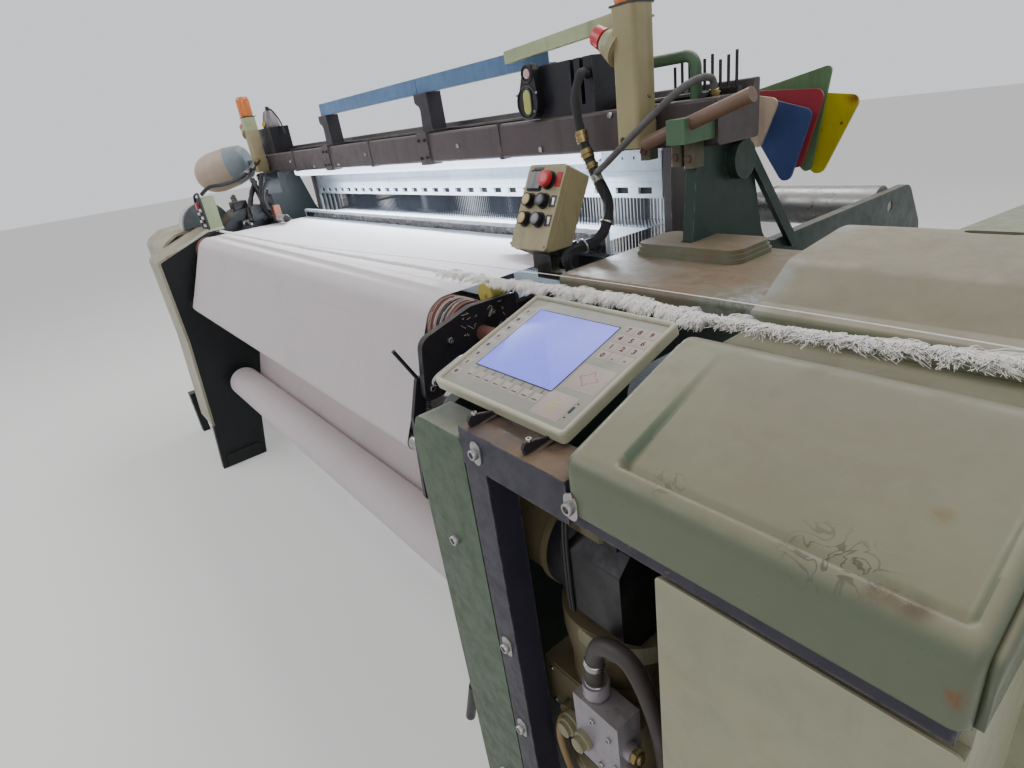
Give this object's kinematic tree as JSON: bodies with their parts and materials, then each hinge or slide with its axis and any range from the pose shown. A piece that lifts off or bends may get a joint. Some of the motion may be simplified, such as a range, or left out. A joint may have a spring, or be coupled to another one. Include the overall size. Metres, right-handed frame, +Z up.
{
  "type": "power loom",
  "caption": "Wide shuttleless weaving machine: cloth runs from the healds and reed over a breast roller to a cloth roll, with a moulded drive end and an operator terminal.",
  "frame": {"origin": "on the floor, at the middle of the machine's width and depth over its feet", "axes": "+X along the cloth width from the plain left end to the drive end, +Y from the weaver to the warp beam, +Z up"},
  "size_m": [3.94, 1.888, 1.756],
  "materials": {
    "frame_dark": "satin, dusty",
    "frame_green": "semi-gloss, chipped",
    "tube_frame": "satin, dusty",
    "beam_brown": "satin, dusty",
    "post_dark": "satin",
    "lamp_white": "lit diffuser",
    "cover_beige": "satin, dusty",
    "cover_green": "moulded, scratched",
    "dome_green": "moulded, dusty",
    "deck_brown": "matt, dusty",
    "terminal_cream": "fine texture",
    "box_beige": "satin",
    "box_green": "satin",
    "lamp_amber": "translucent amber",
    "black_unit": "semi-gloss",
    "fitting_green": "worn",
    "cable_black": "matt",
    "cast_beige": "cast, painted",
    "cap_black": "matt",
    "valve_white": "satin",
    "temple_dark": "oiled",
    "warp_yarn": "fine parallel yarns",
    "cloth_white": "plain weave",
    "rope_white": "fluffy",
    "bracket_black": "satin",
    "guide_yellow": "satin",
    "roller_rubber": "rubber rings, worn",
    "roller_steel": "worn",
    "beam_alloy": "worn",
    "heald_alloy": "satin",
    "steel_grey": "oiled",
    "lever_cream_paint": "satin",
    "lever_blue_paint": "satin",
    "lever_red_paint": "satin",
    "lever_green_paint": "satin",
    "lever_yellow_paint": "chipped",
    "button_red": "glossy",
    "button_yellow": "glossy",
    "button_dark": "glossy",
    "button_white": "glossy",
    "door_cream": "dusty"
  },
  "bodies": {
    "machine": {"left_side_frame": "frame_dark", "left_front_frame": "frame_dark", "right_side_frame": "frame_green", "service_frame": "tube_frame", "cross_ties": "frame_dark", "top_beam": "beam_brown", "beam_posts": "post_dark", "shed_lamp": "lamp_white", "left_cover": "cover_beige", "left_end_covers": "cover_beige", "left_button_box": "box_green", "front_cover": "cover_green", "end_cover": "cover_green", "deck_cover": "deck_brown", "terminal_case": "terminal_cream", "control_box": "box_beige", "signal_posts": "box_beige", "signal_lamps": "lamp_amber", "belt_unit": "black_unit", "beam_fittings": "fitting_green", "cables": "cable_black", "drive_motor": "cast_beige", "motor_cap": "cap_black", "gear_case": "cast_beige", "valve_block": "valve_white", "temples": "temple_dark", "warp_sheet": "warp_yarn", "cloth": "cloth_white", "waste_rope": "rope_white", "breast_bracket": "bracket_black"},
    "sley": {"sley": "steel_grey", "reed": "steel_grey"},
    "heald_odd": {"heald_frames_odd": "heald_alloy"},
    "heald_even": {"heald_frames_even": "heald_alloy"},
    "levers_odd": {"lever_cream": "lever_cream_paint", "lever_red": "lever_red_paint", "lever_yellow": "lever_yellow_paint"},
    "levers_even": {"lever_blue": "lever_blue_paint", "lever_green": "lever_green_paint"},
    "warp_beam_body": {"warp_beam": "beam_alloy", "warp_package": "warp_yarn"},
    "breast_roller_b": {"breast_roller": "roller_rubber"},
    "guide_bar_b": {"guide_bar": "roller_steel"},
    "takeup_roller_b": {"takeup_roller": "roller_rubber"},
    "cloth_roll_b": {"cloth_roll": "cloth_white"},
    "back_rest_b": {"back_rest": "roller_steel"},
    "guide_roller_b": {"guide_roller": "guide_yellow"},
    "control_stop_b": {"control_stop": "button_red"},
    "control_start_b": {"control_start": "button_yellow"},
    "control_slow_b": {"control_slow": "button_dark"},
    "control_forward_b": {"control_forward": "button_yellow"},
    "control_reverse_b": {"control_reverse": "button_white"},
    "control_rocker_b": {"control_rocker": "button_dark"},
    "stop_button_right_b": {"stop_button_right": "button_red"},
    "stop_button_left_b": {"stop_button_left": "button_red"},
    "left_box_stop_b": {"left_box_stop": "button_red"},
    "dome_cover_b": {"dome_cover": "dome_green"},
    "service_door_b": {"service_door": "door_cream"},
    "tension_lever_b": {"tension_lever": "bracket_black"},
    "hand_lever_b": {"hand_lever": "bracket_black"}
  },
  "joints": [
    {"name": "sley_rock", "type": "hinge", "parent": "machine", "child": "sley", "pos_m": [0, -0.11, 0.56], "axis": [-1, 0, 0], "range_deg": [0, 10]},
    {"name": "heald_lift", "type": "slide", "parent": "machine", "child": "heald_odd", "axis": [0, 0, 1], "range_m": [-0.04, 0.04]},
    {"name": "heald_counter", "type": "slide", "parent": "machine", "child": "heald_even", "axis": [0, 0, 1], "range_m": [-0.04, 0.04]},
    {"name": "levers_odd_rock", "type": "hinge", "parent": "machine", "child": "levers_odd", "pos_m": [1.112, 0, 1.452], "axis": [0, 1, 0], "range_deg": [-7, 7]},
    {"name": "levers_even_rock", "type": "hinge", "parent": "machine", "child": "levers_even", "pos_m": [1.112, 0, 1.452], "axis": [0, 1, 0], "range_deg": [-7, 7]},
    {"name": "warp_beam_spin", "type": "hinge", "parent": "machine", "child": "warp_beam_body", "pos_m": [0, 0.54, 0.48], "axis": [1, 0, 0], "continuous": true},
    {"name": "breast_roller_spin", "type": "hinge", "parent": "machine", "child": "breast_roller_b", "pos_m": [0, -0.65, 1.1027], "axis": [1, 0, 0], "continuous": true},
    {"name": "guide_bar_spin", "type": "hinge", "parent": "machine", "child": "guide_bar_b", "pos_m": [0, -0.794, 0.87], "axis": [1, 0, 0], "continuous": true},
    {"name": "takeup_spin", "type": "hinge", "parent": "machine", "child": "takeup_roller_b", "pos_m": [0, -0.6, 0.77], "axis": [1, 0, 0], "continuous": true},
    {"name": "cloth_roll_spin", "type": "hinge", "parent": "machine", "child": "cloth_roll_b", "pos_m": [0, -0.7, 0.44], "axis": [1, 0, 0], "continuous": true},
    {"name": "back_rest_spin", "type": "hinge", "parent": "machine", "child": "back_rest_b", "pos_m": [0, 0.7, 1.1047], "axis": [1, 0, 0], "continuous": true},
    {"name": "guide_roller_spin", "type": "hinge", "parent": "machine", "child": "guide_roller_b", "pos_m": [0.898, -0.574, 1.164], "axis": [0, 1, 0], "continuous": true},
    {"name": "control_stop_press", "type": "slide", "parent": "machine", "child": "control_stop_b", "axis": [0, 0.8829, -0.4695], "range_m": [0, 0.004], "stiffness_N_per_m": 600},
    {"name": "control_start_press", "type": "slide", "parent": "machine", "child": "control_start_b", "axis": [0, 0.8829, -0.4695], "range_m": [0, 0.004], "stiffness_N_per_m": 600},
    {"name": "control_slow_press", "type": "slide", "parent": "machine", "child": "control_slow_b", "axis": [0, 0.8829, -0.4695], "range_m": [0, 0.004], "stiffness_N_per_m": 600},
    {"name": "control_forward_press", "type": "slide", "parent": "machine", "child": "control_forward_b", "axis": [0, 0.8829, -0.4695], "range_m": [0, 0.004], "stiffness_N_per_m": 600},
    {"name": "control_reverse_press", "type": "slide", "parent": "machine", "child": "control_reverse_b", "axis": [0, 0.8829, -0.4695], "range_m": [0, 0.004], "stiffness_N_per_m": 600},
    {"name": "control_rocker_tilt", "type": "hinge", "parent": "machine", "child": "control_rocker_b", "pos_m": [0.836, -0.36664, 1.35422], "axis": [1, 0, 0], "range_deg": [-6, 6]},
    {"name": "stop_right_press", "type": "slide", "parent": "machine", "child": "stop_button_right_b", "axis": [0.866, 0, -0.5], "range_m": [0, 0.006]},
    {"name": "stop_left_press", "type": "slide", "parent": "machine", "child": "stop_button_left_b", "axis": [0.866, 0, -0.5], "range_m": [0, 0.006]},
    {"name": "left_box_stop_press", "type": "slide", "parent": "machine", "child": "left_box_stop_b", "axis": [0, 1, 0], "range_m": [0, 0.006], "stiffness_N_per_m": 600},
    {"name": "dome_open", "type": "hinge", "parent": "machine", "child": "dome_cover_b", "pos_m": [1.732, -0.1, 1.186], "axis": [-1, 0, 0], "range_deg": [0, 60]},
    {"name": "door_open", "type": "hinge", "parent": "machine", "child": "service_door_b", "pos_m": [1.87, -0.934, 0.6], "axis": [0, 0, 1], "range_deg": [0, 110]},
    {"name": "tension_lever_swing", "type": "hinge", "parent": "machine", "child": "tension_lever_b", "pos_m": [0.928, -0.79, 1.0327], "axis": [1, 0, 0], "range_deg": [-30, 0]},
    {"name": "hand_lever_swing", "type": "hinge", "parent": "machine", "child": "hand_lever_b", "pos_m": [1.12, -0.91, 0.476], "axis": [1, 0, 0], "range_deg": [-20, 20]}
  ],
  "couplings": [
    {"joint": "heald_counter", "follows": "heald_lift", "ratio": -1},
    {"joint": "levers_odd_rock", "follows": "heald_lift", "rad_per_m": -2.8571},
    {"joint": "levers_even_rock", "follows": "heald_lift", "rad_per_m": 2.8571},
    {"joint": "breast_roller_spin", "follows": "warp_beam_spin", "ratio": 4.76},
    {"joint": "guide_bar_spin", "follows": "warp_beam_spin", "ratio": 14.146},
    {"joint": "takeup_spin", "follows": "warp_beam_spin", "ratio": -4.915},
    {"joint": "cloth_roll_spin", "follows": "warp_beam_spin", "ratio": -4.001},
    {"joint": "back_rest_spin", "follows": "warp_beam_spin", "ratio": 4.915}
  ]
}
